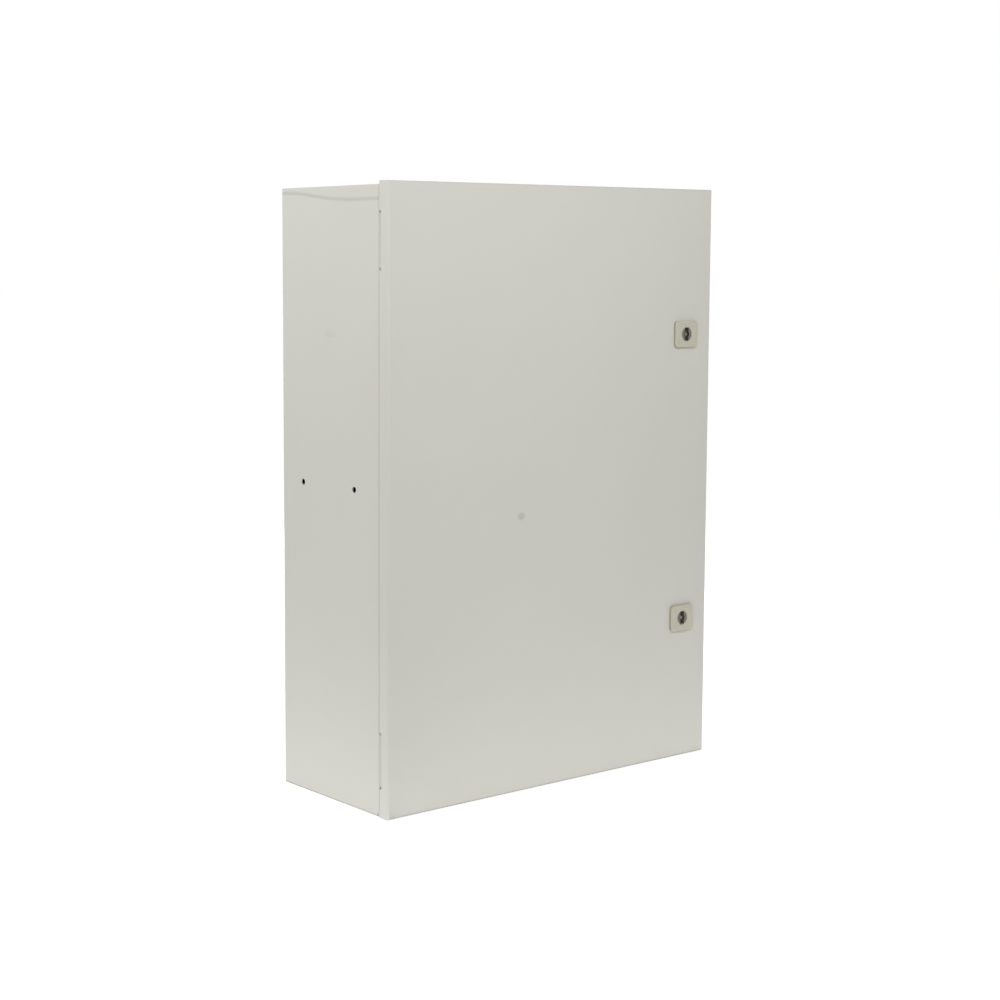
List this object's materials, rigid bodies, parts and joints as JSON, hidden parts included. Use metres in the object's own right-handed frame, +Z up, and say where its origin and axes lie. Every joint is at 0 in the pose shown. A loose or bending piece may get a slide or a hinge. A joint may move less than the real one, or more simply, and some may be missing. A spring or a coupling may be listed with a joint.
{
  "type": "sheet-steel utility cabinet",
  "caption": "Tall light grey sheet-steel cabinet for electrical gear, with a hinged front door, quarter-turn locks, an inner mounting plate and wall fixing holes.",
  "frame": {"origin": "middle of the base, halfway between the wall face and the door's front", "axes": "+Z up, the door faces -Y, the hinges are on the -X side, the wall is at +Y"},
  "size_m": [0.5, 0.2064, 0.7005],
  "materials": {
    "paint": "fine-textured light grey powder coat",
    "zinc": "bright zinc plating",
    "galvanised": "galvanised sheet",
    "steel": "plain drawn steel",
    "brass": "plain brass",
    "foam": "foamed polyurethane",
    "rubber": "moulded rubber",
    "lock_plastic": "cream moulded plastic",
    "lock_insert": "dark die-cast zinc"
  },
  "bodies": {
    "cabinet": {"cabinet_shell": "paint", "gland_studs": "steel", "gland_seal": "foam", "gland_plate": "paint", "gland_nuts": "zinc", "plate_studs": "steel", "plate_spacers": "zinc", "mounting_plate": "galvanised", "plate_washers": "zinc", "plate_nuts": "zinc", "body_earth_stud": "brass", "body_earth_washer": "zinc", "body_earth_nut": "brass", "upper_hinge_bracket": "paint", "lower_hinge_bracket": "paint", "upper_hinge_pin": "steel", "lower_hinge_pin": "steel"},
    "door": {"door_panel": "paint", "door_gasket": "foam", "left_door_rail": "paint", "right_door_rail": "paint", "upper_hinge_leaf": "paint", "lower_hinge_leaf": "paint", "door_earth_stud": "brass", "door_earth_washer": "zinc", "door_earth_nut": "brass", "upper_lock_housing": "lock_plastic", "lower_lock_housing": "lock_plastic", "upper_lock_seal": "rubber", "lower_lock_seal": "rubber", "upper_lock_nut": "zinc", "lower_lock_nut": "zinc"},
    "upper_lock": {"upper_lock_insert": "lock_insert", "upper_lock_cam": "zinc", "upper_cam_screw": "steel"},
    "lower_lock": {"lower_lock_insert": "lock_insert", "lower_lock_cam": "zinc", "lower_cam_screw": "steel"}
  },
  "joints": [
    {"name": "door_swing", "type": "hinge", "parent": "cabinet", "child": "door", "pos_m": [-0.2445, -0.0959, 0.3505], "axis": [0, 0, -1], "range_deg": [0, 120]},
    {"name": "upper_lock_turn", "type": "hinge", "parent": "door", "child": "upper_lock", "pos_m": [0.2055, -0.1014, 0.5255], "axis": [0, -1, 0], "range_deg": [0, 90]},
    {"name": "lower_lock_turn", "type": "hinge", "parent": "door", "child": "lower_lock", "pos_m": [0.2055, -0.1014, 0.1755], "axis": [0, -1, 0], "range_deg": [0, 90]}
  ]
}
